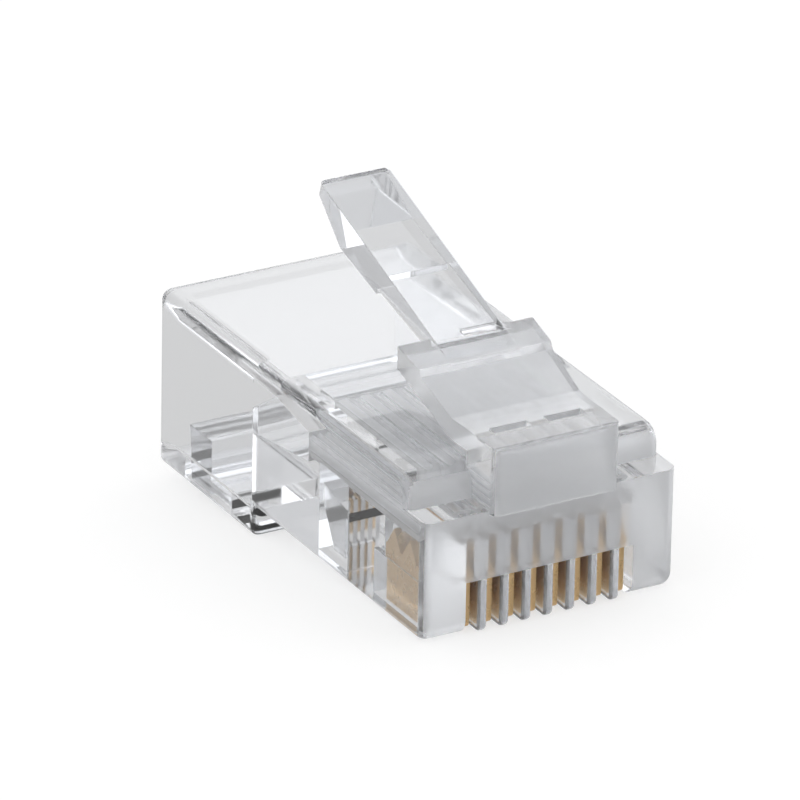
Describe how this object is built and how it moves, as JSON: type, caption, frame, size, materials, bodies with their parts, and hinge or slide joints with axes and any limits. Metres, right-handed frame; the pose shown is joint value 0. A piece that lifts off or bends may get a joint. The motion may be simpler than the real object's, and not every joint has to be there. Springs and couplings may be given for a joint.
{
  "type": "modular plug",
  "caption": "Clear moulded modular plug with a raised latch arm, gold contact blades in open front slots and a hollow rear for the cable, not yet crimped.",
  "frame": {"origin": "middle of the nose's contact-side edge at the mating face, as if its toe were not rounded", "axes": "+X across the contacts, +Y from the mating face to the cable end, +Z from the contact side up to the latch side"},
  "size_m": [0.0116, 0.0228, 0.0142],
  "materials": {
    "clear_plastic": "clear polished polycarbonate",
    "gold_plate": "gold plating over copper alloy"
  },
  "bodies": {
    "shell": {"housing": "clear_plastic"},
    "latch_arm": {"latch": "clear_plastic"},
    "conductor_bar": {"conductor_clamp": "clear_plastic"},
    "jacket_bar": {"jacket_clamp": "clear_plastic"},
    "blade_1": {"contact_1": "gold_plate"},
    "blade_2": {"contact_2": "gold_plate"},
    "blade_3": {"contact_3": "gold_plate"},
    "blade_4": {"contact_4": "gold_plate"},
    "blade_5": {"contact_5": "gold_plate"},
    "blade_6": {"contact_6": "gold_plate"},
    "blade_7": {"contact_7": "gold_plate"},
    "blade_8": {"contact_8": "gold_plate"}
  },
  "joints": [
    {"name": "latch_flex", "type": "hinge", "parent": "shell", "child": "latch_arm", "pos_m": [0, 0.0019, 0.0072], "axis": [1, 0, 0], "range_deg": [-16.5, 0], "stiffness_Nm_per_rad": 0.25},
    {"name": "conductor_bar_swing", "type": "hinge", "parent": "shell", "child": "conductor_bar", "pos_m": [0, 0.0073, 0.0026], "axis": [1, 0, 0], "range_deg": [0, 24]},
    {"name": "jacket_bar_swing", "type": "hinge", "parent": "shell", "child": "jacket_bar", "pos_m": [0, 0.0166, -0.0007], "axis": [1, 0, 0], "range_deg": [0, 22]},
    {"name": "blade_1_crimp", "type": "slide", "parent": "shell", "child": "blade_1", "axis": [0, 0, 1], "range_m": [0, 0.0006]},
    {"name": "blade_2_crimp", "type": "slide", "parent": "shell", "child": "blade_2", "axis": [0, 0, 1], "range_m": [0, 0.0006]},
    {"name": "blade_3_crimp", "type": "slide", "parent": "shell", "child": "blade_3", "axis": [0, 0, 1], "range_m": [0, 0.0006]},
    {"name": "blade_4_crimp", "type": "slide", "parent": "shell", "child": "blade_4", "axis": [0, 0, 1], "range_m": [0, 0.0006]},
    {"name": "blade_5_crimp", "type": "slide", "parent": "shell", "child": "blade_5", "axis": [0, 0, 1], "range_m": [0, 0.0006]},
    {"name": "blade_6_crimp", "type": "slide", "parent": "shell", "child": "blade_6", "axis": [0, 0, 1], "range_m": [0, 0.0006]},
    {"name": "blade_7_crimp", "type": "slide", "parent": "shell", "child": "blade_7", "axis": [0, 0, 1], "range_m": [0, 0.0006]},
    {"name": "blade_8_crimp", "type": "slide", "parent": "shell", "child": "blade_8", "axis": [0, 0, 1], "range_m": [0, 0.0006]}
  ]
}
